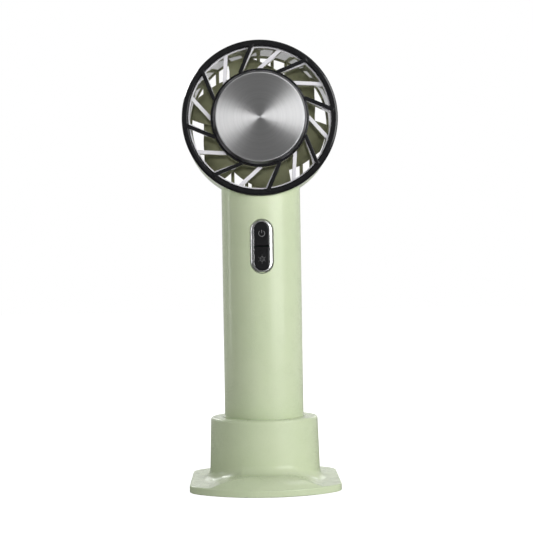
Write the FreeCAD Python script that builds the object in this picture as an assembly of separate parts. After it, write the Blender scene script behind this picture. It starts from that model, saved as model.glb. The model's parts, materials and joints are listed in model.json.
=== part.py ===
import FreeCAD, Part
import math
import os

from FreeCAD import Vector

# Handheld cooling fan standing in its desk base.
# Units are millimetres. The origin is the centre of the base's underside, on the handle's axis.
# +Z is up, +X is to the right of someone facing the fan, and the air leaves towards -Y.

# ---- driving dimensions: stand ----
FOOT_R = 42.5            # round front and back of the foot
FOOT_HALF_W = 33.7       # straight sides of the foot
FOOT_CORNER_R = 12.0
FOOT_LIFT = 0.2          # plastic rim above the table; the pad stands proud of it
WING_TOP = 3.4           # top of the thin side wings
WING_TOP_ROUND = 0.6
WING_FOOT_ROUND = 0.3
COLLAR_TOP = 31.3
COLLAR_R_TOP = 24.4
COLLAR_R_FOOT = 25.25
COLLAR_TAPER = 0.4       # the wall loses less than this where the foot meets it
COLLAR_EDGE_R = 1.2
COLLAR_FILLET = 4.0      # concave sweep where the collar stands on the foot
SOCKET_GAP = 0.35        # radial gap between handle and socket
SOCKET_FLOOR = 5.6
SOCKET_LEAD_IN = 0.6
SOCKET_WALL = 1.6        # inner skin of the hollow collar
COLLAR_SKIN = 1.9        # outer skin of the hollow collar
COLLAR_CAP = 2.5         # solid band at the collar's top
COLLAR_CORE_Z = 3.0
HUMP_INNER_R = 29.0      # crowned section of the raised front and back, from the collar outwards
HUMP_INNER_Z = 7.5
HUMP_CROWN_R = 36.5
HUMP_CROWN_Z = 7.2
HUMP_RIM_Z = 2.6
HUMP_CLEAR = 0.5         # the bell outline passes this far above the crown's inner end
HUMP_FLAT_HALF_W = 4.0   # raised part at full height
HUMP_HALF_W = 25.6       # raised part runs out into the wings
HUMP_SHOULDER = 13.5     # how long the outline stays high, and how long it stays low
HUMP_TOE = 3.0
PAD_INSET = 1.9
PAD_T = 1.0
WEIGHT_R = 23.0
WEIGHT_TOP = 3.55
SEAT_GAP = 0.1
SOCKET_PAD_GAP = 0.15

# ---- driving dimensions: handle ----
HANDLE_R = 18.0
HANDLE_WALL = 2.0
HANDLE_BOTTOM = 6.6
CAP_FLANGE = 2.0
CAP_PLUG = 4.5
CAP_ROUND = 0.8
PLUG_WALL = 1.5
SLIDE_GAP = 0.1          # gap round parts that slide into the tube
SWITCH_Z = 108.6         # centre of the control pill
PILL_W = 10.1
PILL_H = 24.1
PILL_GAP = 0.2           # shadow gap between the pill and the handle
BEZEL_R = 18.45          # the pill's face follows the round of the handle
BEZEL_BACK = 14.0
BEZEL_CHAMFER = 0.6
BEZEL_FLANGE = 0.8
BEZEL_FLANGE_T = 0.6
KEY_W = 6.8              # the two keys side by side in the pill
KEY_H = 21.6
KEY_R = 18.3
KEY_ROUND = 0.35
KEY_SPLIT = 0.3
KEY_GAP = 0.12
KEY_FLANGE = 0.9         # lip behind the bezel that stops a key falling out
KEY_FLANGE_T = 0.88
USB_Z = 88.0
USB_W = 8.9
USB_H = 3.2
USB_WALL = 0.3
USB_FRONT = 10.8
USB_FLOOR = 1.2
USB_SET_BACK = 0.15
TONGUE_FRONT = 11.5
TONGUE_BACK = 16.4
TONGUE_HALF_W = 3.3
TONGUE_HALF_T = 0.35
LIGHT_Z = 97.0
LIGHT_R = 1.0
LIGHT_FRONT = 12.9
LIGHT_LIP = 0.8
LIGHT_LIP_T = 1.2

# ---- driving dimensions: inside the handle ----
CELL_R = 13.1
CELL_BOTTOM = 14.2
CELL_TOP = 79.0
CELL_ROUND = 0.9
CELL_CAP_R = 4.0
CELL_CAP_H = 1.4
CELL_CAP_ROOT = 0.5
SLEEVE_R = 13.3          # bore round the cell
SLEEVE_WINDOW = 6.0
SLEEVE_BAND = 4.0        # closed bands above and below the window
FRAME_GAP = 0.2
FRAME_BOTTOM = 13.6
RAIL_FOOT_Z = 82.0
SHELF_HALF_W = 11.5
DECK_Z = 81.0
DECK_T = 2.0
DECK_HOLE_X = 8.5
DECK_HOLE_R = 2.5
FRAME_TOP = 124.0
RAIL_X = 11.3
RAIL_HALF_DEPTH = 8.9
SHELF_FRONT = 6.5
SHELF_BACK = 9.3
SHELF_TOP = 96.0
BOARD_HALF_W = 11.0
BOARD_BACK = 9.0         # the control board stands this far in front of the axis
BOARD_T = 1.2
BOARD_BOTTOM = 85.0
CHARGER_HALF_W = 8.0
CHARGER_FRONT = 9.4
CHARGER_T = 1.3
CHARGER_BOTTOM = 84.0
CHARGER_TOP = 101.0
TACT_HALF = 2.6
TACT_T = 1.8
PLUNGER_R = 1.2
PLUNGER_L = 0.45
LEAD_R = 0.7
LEAD_HOLE_R = 1.1
LEAD_PITCH = 1.6         # two leads side by side
BOARD_CLEAR = 0.8        # leads pass this far behind the control board
BATTERY_LEAD_X = 8.0
BATTERY_LEAD_Z = (81.5, 90.0, 94.0, 98.0)

# ---- driving dimensions: head ----
HEAD_Z = 165.9
HEAD_R = 34.85
HEAD_HALF_DEPTH = 19.5
SHELL_WALL = 1.6
BORE_R = 31.9            # air passage
SNAP_GAP = 0.05          # gap between the shells that push together
RING_DEPTH = 2.5         # visible depth of the front ring and of the rear cover
RING_ROUND = 0.9
MOUTH_CHAMFER = 0.5
COVER_ROUND = 1.4
COVER_STEP = 0.4
SPIGOT = 3.0
NECK_BOTTOM = 125.0      # the neck plugs into the handle from here up
NECK_WALL = 1.5
HUB_R = 22.0
HUB_SET_BACK = 0.1
HUB_CHAMFER = 0.3
PLATE_R = 20.95
PLATE_FLAT_R = 19.85
PLATE_PROUD = 3.5        # the cold plate stands in front of the ring
PLATE_EDGE = 2.1         # depth of the plate's sloping edge
PLATE_CHAMFER = 0.3
PLATE_SHOULDER = 0.35
SPOKE_W = 1.65
SPOKE_COUNT = 8
SPOKE_ANGLE = 5.2        # outer end of the first spoke, from +X
SPOKE_SWEEP = 18.0       # the inner end is ahead of the outer end by this angle
SPOKE_PROUD = 0.2
SPOKE_ROOT = 0.3         # how far a spoke runs into the hub
SLAT_PITCH = 6.42
SLAT_W = 1.55
SLAT_REACH = 3           # slats each side of the middle one
EDGE_SLAT_X = 24.55
EDGE_SLAT_W = 2.9
GRILLE_RIM = 0.5
GUARD_RIM = 0.6
RIB_HALF_W = 4.1         # wide rib below the motor seat, with the leads in its back
CHANNEL_HALF_W = 1.65
COOLER_LEAD_X = 3.9
COOLER_LEAD_Y = -11.4
COOLER_LEAD_R = 30.7     # the leads turn inwards here, behind a spoke of the guard
COOLER_LEAD_Z = (121.0, 126.0, 129.5)
MOTOR_LEAD_Y = 14.6
MOTOR_LEAD_Z = (116.0, 124.0, 128.0)
MOTOR_LEAD_END_R = 10.2

# ---- driving dimensions: cooler, motor and impeller ----
PELTIER_SIDE = 25.0
PAD_GREASE_T = 0.5
SINK_BASE_R = 19.3
SINK_BASE = 2.0
FIN_R = 18.6
FIN_PITCH = 2.8
FIN_T = 1.0
FIN_REACH = 6
CUP_R = 19.5
CUP_TAIL = 1.5
GASKET_R_IN = 18.2
GASKET_R_OUT = 19.4
GASKET_T = 3.58
CLOSE_GAP = 0.02         # between faces that rest on each other
BLADE_COUNT = 6
BLADE_ANGLE = -3.3       # front edge of the first blade at its tip, from +X
BLADE_R = 31.0
BLADE_TIP_R = 31.4       # the sheet is drawn out to here, then trimmed round
BLADE_T = 1.3
BLADE_TIP_SPAN = 20.6    # angle the blade turns through at its tip
BLADE_SPAN_RISE = 1.8    # and how it grows towards the hub, per millimetre
BLADE_ROOT_SPAN = 36.0   # extra sweep at the hub, eased in
BLADE_LEAN = 0.69        # the front edge leans ahead towards the hub, per millimetre
HUB_CUP_R = 21.5
HUB_CUP_WALL = 1.4
HUB_CUP_FRONT_T = 1.6
HUB_CUP_ROUND = 1.5
CAN_R = 11.5
CAN_WALL = 0.8
CAN_GRIP = 1.45          # wall of the hub's inner sleeve round the can
MAGNET_T = 0.85
MAGNET_FRONT = 0.5
SHAFT_R = 1.0
SHAFT_GAP = 0.02
SHAFT_FRONT = -5.3
SHAFT_BACK = 10.8
BEARING_R = 2.95
BEARING_GAP = 0.03
BEARING_T = 2.2
BEARING_FRONTS = (0.4, 7.4)
SLEEVE_OUT_R = 4.0
SLEEVE_FRONT = 0.2
CORE_R = 9.3
CORE_FRONT = 1.0
CORE_BACK = 8.0
SLOT_COUNT = 9
SLOT_IN_R = 5.6
SLOT_OUT_R = 8.4
SLOT_HALF_W = 0.9
BASE_R = 11.0
BASE_FRONT = 9.6
SEAT_R = 12.0
SEAT_T = 4.0
SCREW_COUNT = 3
SCREW_CIRCLE_R = 8.0
SCREW_R = 1.0
SCREW_FRONT = 10.2
SCREW_HEAD_R = 1.8
SCREW_HEAD_T = 1.2
DRIVE_R = 0.6
DRIVE_DEPTH = 0.7

# ---- depths inside the head, along Y from front to back ----
FRONT = -HEAD_HALF_DEPTH
BACK = HEAD_HALF_DEPTH
RING_BACK = FRONT + RING_DEPTH
GRILLE_BACK = RING_BACK + SPIGOT
COVER_FRONT = BACK - RING_DEPTH
GUARD_FRONT = FRONT + 1.9
GUARD_BACK = FRONT + 6.5
SINK_FRONT = FRONT + 4.1
SINK_BACK = FRONT + 11.0
ROTOR_FRONT = -5.6
CAN_BACK = 7.0
BLADE_FRONT = 1.35
BLADE_BACK = 11.2
ROTOR_BACK = 12.4
SLATS_FRONT = 13.5
SLATS_BACK = 15.5
SEAT_FRONT = SLATS_BACK - SEAT_T

Y_AXIS = Vector(0, 1, 0)
Z_AXIS = Vector(0, 0, 1)
HEAD = Vector(0, 0, HEAD_Z)
PAST = 1.0               # a cutting tool runs this far past the face it opens

INNER_R = HANDLE_R - HANDLE_WALL
SHELL_R = HEAD_R - SHELL_WALL
LINER_R = SHELL_R - SNAP_GAP
SOCKET_R = HANDLE_R + SOCKET_GAP
CAP_TOP = HANDLE_BOTTOM + CAP_FLANGE
BASE_BACK = SEAT_FRONT - SNAP_GAP


# ---- small helpers ----
def save(name, shape):
    shape.exportStep(os.path.join("parts", name + ".step"))


def upright(r, z0, z1, x=0.0, y=0.0):
    return Part.makeCylinder(r, z1 - z0, Vector(x, y, z0), Z_AXIS)


def upright_tube(r_in, r_out, z0, z1):
    return upright(r_out, z0, z1).cut(upright(r_in, z0 - 1, z1 + 1))


def drum(r, y0, y1, x=0.0, z=0.0):
    """Cylinder along Y; x and z count from the head's centre."""
    return Part.makeCylinder(r, y1 - y0, HEAD + Vector(x, y0, z), Y_AXIS)


def hoop(r_in, r_out, y0, y1):
    return drum(r_out, y0, y1).cut(drum(r_in, y0 - 1, y1 + 1))


def block(x0, x1, y0, y1, z0, z1):
    return Part.makeBox(x1 - x0, y1 - y0, z1 - z0, Vector(x0, y0, z0))


def face_of(edges):
    return Part.Face(Part.Wire(edges))


def polygon(points):
    return Part.Face(Part.makePolygon(points + points[:1]))


def arc(a, b, c):
    return Part.Arc(a, b, c).toShape()


def line(a, b):
    return Part.makeLine(a, b)


def spun_up(edges):
    """Revolve an outline in the XZ plane about the handle's axis."""
    return face_of(edges).revolve(Vector(0, 0, 0), Z_AXIS, 360)


def spun_head(points):
    """Revolve (radius, depth) points about the head's axis."""
    outline = polygon([HEAD + Vector(r, y, 0) for r, y in points])
    return outline.revolve(HEAD, Y_AXIS, 360)


def fuse_all(shapes):
    return shapes[0].multiFuse(shapes[1:]).removeSplitter()


def stadium(w, h, y0, y1, z):
    """Upright pill-shaped prism along Y, centred at height z."""
    r = w / 2
    reach = h / 2 - r
    right = [Vector(r, y0, z - reach), Vector(r, y0, z + reach)]
    left = [Vector(-r, y0, z + reach), Vector(-r, y0, z - reach)]
    top = Vector(0, y0, z + h / 2)
    bottom = Vector(0, y0, z - h / 2)
    edges = [line(right[0], right[1]), arc(right[1], top, left[0])]
    edges += [line(left[0], left[1]), arc(left[1], bottom, right[0])]
    return face_of(edges).extrude(Vector(0, y1 - y0, 0))


def wire_run(points, r):
    """Round lead through the points, with ball corners."""
    pieces = []
    for a, b in zip(points, points[1:]):
        pieces.append(Part.makeCylinder(r, (b - a).Length, a, b - a))
    for p in points[1:-1]:
        pieces.append(Part.makeSphere(r, p))
    return fuse_all(pieces)


def around_head(shape, angle):
    """Copy turned about the head's axis; a positive angle is anticlockwise seen from the front."""
    turned = shape.copy()
    turned.rotate(HEAD, Vector(0, -1, 0), angle)
    return turned


def at_polar(r, angle, y):
    a = math.radians(angle)
    return HEAD + Vector(r * math.cos(a), y, r * math.sin(a))


# ---- stand ----
def foot_outline(inset, z0, z1):
    """Round front and back, straight sides, rounded corners."""
    w = FOOT_HALF_W - inset
    round_part = upright(FOOT_R - inset, z0, z1)
    slab = round_part.common(block(-w, w, -FOOT_R, FOOT_R, z0, z1))
    corners = [e for e in slab.Edges if len(e.Vertexes) == 2 and is_upright(e)]
    return slab.makeFillet(FOOT_CORNER_R - inset / 2, corners)


def is_upright(edge):
    a, b = (v.Point for v in edge.Vertexes)
    return abs(a.x - b.x) < 1e-6 and abs(a.y - b.y) < 1e-6


def edges_at(shape, z):
    """Level edges at height z."""
    found = []
    for edge in shape.Edges:
        box = edge.BoundBox
        if box.ZMax - box.ZMin < 1e-6 and abs(box.ZMax - z) < 1e-6:
            found.append(edge)
    return found


def wings():
    slab = foot_outline(0.0, FOOT_LIFT, WING_TOP)
    slab = slab.makeFillet(WING_TOP_ROUND, edges_at(slab, WING_TOP))
    return slab.makeFillet(WING_FOOT_ROUND, edges_at(slab, FOOT_LIFT))


def collar():
    """Slightly tapered socket wall, with a rounded top edge."""
    top_mid = (1 - math.sqrt(0.5)) * COLLAR_EDGE_R
    foot_in = Vector(0, 0, WING_TOP / 2)
    foot_out = Vector(COLLAR_R_FOOT, 0, WING_TOP / 2)
    edge_a = Vector(COLLAR_R_TOP, 0, COLLAR_TOP - COLLAR_EDGE_R)
    edge_mid = Vector(COLLAR_R_TOP - top_mid, 0, COLLAR_TOP - top_mid)
    edge_b = Vector(COLLAR_R_TOP - COLLAR_EDGE_R, 0, COLLAR_TOP)
    top_in = Vector(0, 0, COLLAR_TOP)
    edges = [line(foot_in, foot_out), line(foot_out, edge_a), arc(edge_a, edge_mid, edge_b)]
    edges += [line(edge_b, top_in), line(top_in, foot_in)]
    return spun_up(edges)


def hump():
    """Raised front and back of the foot: a crowned rim, cut to a bell shape seen from the front."""
    foot_in = Vector(0, 0, FOOT_LIFT + WING_FOOT_ROUND)
    foot_out = Vector(FOOT_R, 0, FOOT_LIFT + WING_FOOT_ROUND)
    rim = Vector(FOOT_R, 0, HUMP_RIM_Z)
    crown = Vector(HUMP_CROWN_R, 0, HUMP_CROWN_Z)
    inner = Vector(HUMP_INNER_R, 0, HUMP_INNER_Z)
    top_in = Vector(0, 0, HUMP_INNER_Z)
    edges = [line(foot_in, foot_out), line(foot_out, rim), arc(rim, crown, inner)]
    edges += [line(inner, top_in), line(top_in, foot_in)]
    return spun_up(edges).common(bell(HUMP_INNER_Z + HUMP_CLEAR))


def collar_foot_edges(body):
    """The loop where the collar stands on the foot."""
    found = []
    for edge in body.Edges:
        span = edge.LastParameter - edge.FirstParameter
        points = [edge.valueAt(edge.FirstParameter + span * i / 4) for i in range(5)]
        radii = [math.hypot(p.x, p.y) for p in points]
        on_wall = max(radii) < COLLAR_R_FOOT + SNAP_GAP and min(radii) > COLLAR_R_FOOT - COLLAR_TAPER
        if on_wall and max(p.z for p in points) < COLLAR_TOP / 2:
            found.append(edge)
    return found


def bell(top):
    """Prism along Y whose outline rises from the wings to a broad flat top."""
    low = WING_TOP - SNAP_GAP
    y = -FOOT_R - PAST
    right_top = Vector(HUMP_FLAT_HALF_W, y, top)
    right_low = Vector(HUMP_HALF_W, y, low)
    right_foot = Vector(HUMP_HALF_W, y, 0)
    left_top, left_low, left_foot = (Vector(-p.x, y, p.z) for p in (right_top, right_low, right_foot))
    edges = [shoulder(right_top, right_low, 1), line(right_low, right_foot), line(right_foot, left_foot)]
    edges += [line(left_foot, left_low), shoulder(left_top, left_low, -1), line(left_top, right_top)]
    return face_of(edges).extrude(Vector(0, -2 * y, 0))


def shoulder(top, low, side):
    """Half of the bell: level at both ends, and longer at the top."""
    curve = Part.BezierCurve()
    high_pole = top + Vector(side * HUMP_SHOULDER, 0, 0)
    low_pole = low - Vector(side * HUMP_TOE, 0, 0)
    curve.setPoles([top, high_pole, low_pole, low])
    return curve.toShape()


def stand_base():
    body = wings().fuse(collar()).fuse(hump()).removeSplitter()
    body = body.makeFillet(COLLAR_FILLET, collar_foot_edges(body))
    socket = upright(SOCKET_R, SOCKET_FLOOR, COLLAR_TOP + PAST)
    mouth = Vector(0, 0, COLLAR_TOP - SOCKET_LEAD_IN)
    lead_in = Part.makeCone(SOCKET_R, SOCKET_R + SOCKET_LEAD_IN, SOCKET_LEAD_IN, mouth, Z_AXIS)
    pad_seat = foot_outline(PAD_INSET - SEAT_GAP, FOOT_LIFT - PAST, PAD_T)
    weight_seat = upright(WEIGHT_R + SEAT_GAP, PAD_T - SEAT_GAP, WEIGHT_TOP + SNAP_GAP)
    core_top = COLLAR_TOP - COLLAR_CAP
    core = upright_tube(SOCKET_R + SOCKET_WALL, COLLAR_R_TOP - COLLAR_SKIN, COLLAR_CORE_Z, core_top)
    return body.cut(socket).cut(lead_in).cut(pad_seat).cut(weight_seat).cut(core)


def socket_pad():
    pad = upright(SOCKET_R - SOCKET_PAD_GAP, SOCKET_FLOOR, HANDLE_BOTTOM)
    return pad.makeChamfer(2 * SOCKET_PAD_GAP, edges_at(pad, HANDLE_BOTTOM))


def build_stand():
    save("stand_base", stand_base())
    save("foot_pad", foot_outline(PAD_INSET, 0.0, PAD_T))
    save("stand_weight", upright(WEIGHT_R, PAD_T, WEIGHT_TOP))
    save("socket_pad", socket_pad())


# ---- handle ----
def handle_tube():
    tube = upright_tube(INNER_R, HANDLE_R, CAP_TOP, HEAD_Z)
    tube = tube.cut(drum(HEAD_R + CLOSE_GAP, -HANDLE_R - PAST, HANDLE_R + PAST))
    tube = tube.cut(stadium(PILL_W + 2 * PILL_GAP, PILL_H + 2 * PILL_GAP, -HANDLE_R - PAST, 0, SWITCH_Z))
    tube = tube.cut(port_outline(USB_WALL, INNER_R - PAST, HANDLE_R + PAST))
    light = Part.makeCylinder(LIGHT_R + SNAP_GAP, HANDLE_R, Vector(0, 0, LIGHT_Z), Y_AXIS)
    return tube.cut(light).Solids[0]


def port_outline(grow, y0, y1):
    """Wide pill shape of the charging port, lying on its side."""
    port = stadium(USB_H + 2 * grow, USB_W + 2 * grow, y0, y1, 0)
    port.rotate(Vector(0, 0, 0), Y_AXIS, 90)
    port.translate(Vector(0, 0, USB_Z))
    return port


def end_cap():
    flange = upright(HANDLE_R, HANDLE_BOTTOM, CAP_TOP)
    flange = flange.makeFillet(CAP_ROUND, edges_at(flange, HANDLE_BOTTOM))
    plug_r = INNER_R - SLIDE_GAP
    plug = upright_tube(plug_r - PLUG_WALL, plug_r, CAP_TOP, CAP_TOP + CAP_PLUG)
    return flange.fuse(plug).removeSplitter()


def inner_frame():
    """Sleeve round the cell, a deck above it, and two rails that carry the control board."""
    r = INNER_R - FRAME_GAP
    sleeve = upright_tube(SLEEVE_R, r, FRAME_BOTTOM, DECK_Z)
    low, high = FRAME_BOTTOM + SLEEVE_BAND, DECK_Z - SLEEVE_BAND
    window = block(-SLEEVE_WINDOW, SLEEVE_WINDOW, -HANDLE_R, 0, low, high)
    deck_top = DECK_Z + DECK_T
    hole = upright(DECK_HOLE_R, DECK_Z - PAST, deck_top + PAST, DECK_HOLE_X)
    deck = upright(r, DECK_Z, deck_top).cut(hole)
    limits = upright(r, DECK_Z, FRAME_TOP)
    right = block(RAIL_X, r, -RAIL_HALF_DEPTH, RAIL_HALF_DEPTH, RAIL_FOOT_Z, FRAME_TOP)
    left = block(-r, -RAIL_X, -RAIL_HALF_DEPTH, RAIL_HALF_DEPTH, RAIL_FOOT_Z, FRAME_TOP)
    shelf = block(-SHELF_HALF_W, SHELF_HALF_W, SHELF_FRONT, SHELF_BACK, RAIL_FOOT_Z, SHELF_TOP)
    return fuse_all([sleeve.cut(window), deck, right.fuse(left).common(limits), shelf])


def battery_cell():
    can = upright(CELL_R, CELL_BOTTOM, CELL_TOP)
    can = can.makeFillet(CELL_ROUND, edges_at(can, CELL_TOP))
    return can.fuse(upright(CELL_CAP_R, CELL_TOP - CELL_CAP_ROOT, CELL_TOP + CELL_CAP_H)).removeSplitter()


def tact_switches():
    """One small switch behind the middle of each key."""
    back = -BOARD_BACK - BOARD_T
    switches = []
    for z in (SWITCH_Z + KEY_H / 4, SWITCH_Z - KEY_H / 4):
        body = block(-TACT_HALF, TACT_HALF, back - TACT_T, back, z - TACT_HALF, z + TACT_HALF)
        tip = Vector(0, back - TACT_T - PLUNGER_L, z)
        switches.append(body.fuse(Part.makeCylinder(PLUNGER_R, PLUNGER_L, tip, Y_AXIS)))
    return Part.makeCompound(switches)


def edges_on_round(shape, r):
    """Edges that lie on the upright cylinder of radius r."""
    found = []
    for edge in shape.Edges:
        middle = (edge.FirstParameter + edge.LastParameter) / 2
        points = [edge.valueAt(t) for t in (edge.FirstParameter, middle, edge.LastParameter)]
        if all(abs(math.hypot(p.x, p.y) - r) < 1e-4 for p in points):
            found.append(edge)
    return found


def pill(w, h, r, y1):
    """Upright pill whose face follows the round of the handle."""
    blank = stadium(w, h, -r - PAST, y1, SWITCH_Z)
    return blank.common(upright(r, SWITCH_Z - h, SWITCH_Z + h))


def button_bezel():
    ring = pill(PILL_W, PILL_H, BEZEL_R, -BEZEL_BACK)
    ring = ring.makeChamfer(BEZEL_CHAMFER, edges_on_round(ring, BEZEL_R))
    flange_w = PILL_W + 2 * BEZEL_FLANGE
    flange_h = PILL_H + 2 * BEZEL_FLANGE
    flange = stadium(flange_w, flange_h, -BEZEL_BACK - BEZEL_FLANGE_T, -BEZEL_BACK + SLIDE_GAP, SWITCH_Z)
    hole = stadium(KEY_W + 2 * KEY_GAP, KEY_H + 2 * KEY_GAP, -BEZEL_R - PAST, 0, SWITCH_Z)
    return ring.fuse(flange).removeSplitter().cut(hole)


def key(upper):
    """One half of the pill, with a flange behind the bezel that stops it falling out."""
    flange_front = -BEZEL_BACK + SLIDE_GAP + CLOSE_GAP
    cap = pill(KEY_W, KEY_H, KEY_R, flange_front + SLIDE_GAP)
    flange_w = KEY_W + 2 * KEY_FLANGE
    flange = stadium(flange_w, KEY_H + 2 * KEY_FLANGE, flange_front, flange_front + KEY_FLANGE_T, SWITCH_Z)
    low = SWITCH_Z + KEY_SPLIT / 2 if upper else SWITCH_Z - PILL_H
    keep = block(-PILL_W, PILL_W, -BEZEL_R, 0, low, low + PILL_H - KEY_SPLIT / 2)
    cap = cap.common(keep)
    cap = cap.makeFillet(KEY_ROUND, edges_on_round(cap, KEY_R))
    return cap.fuse(flange.common(keep)).removeSplitter()


def front_edges(shape, y):
    """Edges of the flat face at depth y."""
    return [e for e in shape.Edges if abs(e.BoundBox.YMin - y) < 1e-6 and e.BoundBox.YLength < 1e-6]


def usb_shell():
    shell = port_outline(0.0, USB_FRONT, HANDLE_R - USB_SET_BACK)
    hollow = port_outline(-USB_WALL, USB_FRONT + USB_FLOOR, HANDLE_R + PAST)
    z0, z1 = USB_Z - TONGUE_HALF_T, USB_Z + TONGUE_HALF_T
    tongue = block(-TONGUE_HALF_W, TONGUE_HALF_W, TONGUE_FRONT, TONGUE_BACK, z0, z1)
    return shell.cut(hollow).fuse(tongue)


def light_pipe():
    start = Vector(0, LIGHT_FRONT, LIGHT_Z)
    lens = Part.makeCylinder(LIGHT_R, HANDLE_R - SNAP_GAP - LIGHT_FRONT, start, Y_AXIS)
    lip = Part.makeCylinder(LIGHT_R + LIGHT_LIP, LIGHT_LIP_T, start, Y_AXIS)
    return lens.fuse(lip).removeSplitter()


def control_board():
    back = -BOARD_BACK
    return block(-BOARD_HALF_W, BOARD_HALF_W, back - BOARD_T, back, BOARD_BOTTOM, FRAME_TOP)


def charging_board():
    back = CHARGER_FRONT + CHARGER_T
    return block(-CHARGER_HALF_W, CHARGER_HALF_W, CHARGER_FRONT, back, CHARGER_BOTTOM, CHARGER_TOP)


def lead_pair(points, step):
    """Two round leads, the second one moved aside by step."""
    second = [p + step for p in points]
    return Part.makeCompound([wire_run(points, LEAD_R), wire_run(second, LEAD_R)])


def battery_leads():
    """Up through the hole in the deck, then forward to the control board."""
    x = BATTERY_LEAD_X
    board_y = BOARD_CLEAR - BOARD_BACK
    z = BATTERY_LEAD_Z
    points = [Vector(x, 0, z[0]), Vector(x, 0, z[1])]
    points += [Vector(x / 2, board_y, z[2]), Vector(x / 2, board_y, z[3])]
    return lead_pair(points, Vector(LEAD_PITCH, 0, 0))


def build_handle():
    save("handle_tube", handle_tube())
    save("handle_end_cap", end_cap())
    save("battery_cell", battery_cell())
    save("inner_frame", inner_frame())
    save("control_board", control_board())
    save("charging_board", charging_board())
    save("tact_switches", tact_switches())
    save("button_bezel", button_bezel())
    save("power_button", key(True))
    save("cooling_button", key(False))
    save("usb_c_port", usb_shell())
    save("charge_light", light_pipe())
    save("battery_leads", battery_leads())


# ---- head: shells and grilles ----
def head_shell():
    shell = hoop(SHELL_R, HEAD_R, RING_BACK, COVER_FRONT)
    r = INNER_R - SLIDE_GAP
    neck = upright_tube(r - NECK_WALL, r, NECK_BOTTOM, HEAD_Z)
    neck = neck.cut(drum(HEAD_R - SHELL_WALL / 2, FRONT, BACK))
    return shell.fuse(neck).removeSplitter().cut(lead_holes())


def lead_holes():
    """Round holes for the cooler's two leads at the front and the motor's two leads at the back."""
    top = HEAD_Z - HUB_R
    x = LEAD_PITCH / 2
    places = [(COOLER_LEAD_X, COOLER_LEAD_Y), (COOLER_LEAD_X, COOLER_LEAD_Y + LEAD_PITCH)]
    places += [(-x, MOTOR_LEAD_Y), (x, MOTOR_LEAD_Y)]
    return fuse_all([upright(LEAD_HOLE_R, NECK_BOTTOM - PAST, top, px, py) for px, py in places])


def duct_liner():
    liner = hoop(BORE_R, LINER_R, GRILLE_BACK + SNAP_GAP, SLATS_FRONT - SNAP_GAP)
    return liner.cut(lead_holes())


def swept_spoke(angle, r_in, r_out, y0, y1):
    """Straight bar from the rim to the hub, leaning round by the sweep."""
    a = at_polar(r_out, angle, y0)
    b = at_polar(r_in, angle + SPOKE_SWEEP, y0)
    along = (b - a).normalize()
    side = along.cross(Y_AXIS) * (SPOKE_W / 2)
    return polygon([a - side, b - side, b + side, a + side]).extrude(Vector(0, y1 - y0, 0))


def front_ring():
    edge = RING_ROUND * (1 - math.sqrt(0.5))
    return spun_head([
        (BORE_R, FRONT + MOUTH_CHAMFER), (BORE_R + MOUTH_CHAMFER, FRONT), (HEAD_R - RING_ROUND, FRONT),
        (HEAD_R - edge, FRONT + edge), (HEAD_R, FRONT + RING_ROUND), (HEAD_R, RING_BACK),
        (LINER_R, RING_BACK), (LINER_R, GRILLE_BACK), (BORE_R, GRILLE_BACK)])


def front_hub():
    front, back = FRONT + HUB_SET_BACK, GUARD_FRONT - SNAP_GAP
    return spun_head([
        (PLATE_R + SNAP_GAP, front), (HUB_R - HUB_CHAMFER, front), (HUB_R, front + HUB_CHAMFER),
        (HUB_R, back), (PLATE_R + SNAP_GAP, back)])


def front_grille():
    bars = []
    for i in range(SPOKE_COUNT):
        angle = SPOKE_ANGLE + i * 360 / SPOKE_COUNT
        back = GUARD_FRONT - SNAP_GAP
        bars.append(swept_spoke(angle, HUB_R - SPOKE_ROOT, BORE_R + 1.2, FRONT - SPOKE_PROUD, back))
    return fuse_all([front_ring(), front_hub()] + bars)


def inner_guard():
    """Second row of spokes behind the first, twice as many."""
    rim = hoop(BORE_R - GUARD_RIM, BORE_R - SNAP_GAP, GUARD_FRONT, GUARD_BACK)
    hub = hoop(PLATE_R + SNAP_GAP, HUB_R, GUARD_FRONT, GUARD_BACK)
    bars = []
    for i in range(2 * SPOKE_COUNT):
        angle = SPOKE_ANGLE + i * 180 / SPOKE_COUNT
        bars.append(swept_spoke(angle, HUB_R - SPOKE_ROOT, BORE_R - GUARD_RIM / 3, GUARD_FRONT, GUARD_BACK))
    limit = hoop(PLATE_R + SNAP_GAP, BORE_R - SNAP_GAP, GUARD_FRONT, GUARD_BACK)
    return fuse_all([rim, hub] + bars).common(limit)


def rear_cover():
    front = SLATS_BACK + SNAP_GAP
    return spun_head([
        (BORE_R, front), (LINER_R, front), (LINER_R, COVER_FRONT), (HEAD_R, COVER_FRONT),
        (HEAD_R, BACK - COVER_ROUND), (HEAD_R - COVER_STEP, BACK - COVER_STEP),
        (HEAD_R - COVER_ROUND, BACK), (BORE_R + MOUTH_CHAMFER, BACK), (BORE_R, BACK - MOUTH_CHAMFER)])


def slat(x, half_w):
    return block(x - half_w, x + half_w, SLATS_FRONT, SLATS_BACK, HEAD_Z - HEAD_R, HEAD_Z + HEAD_R)


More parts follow.
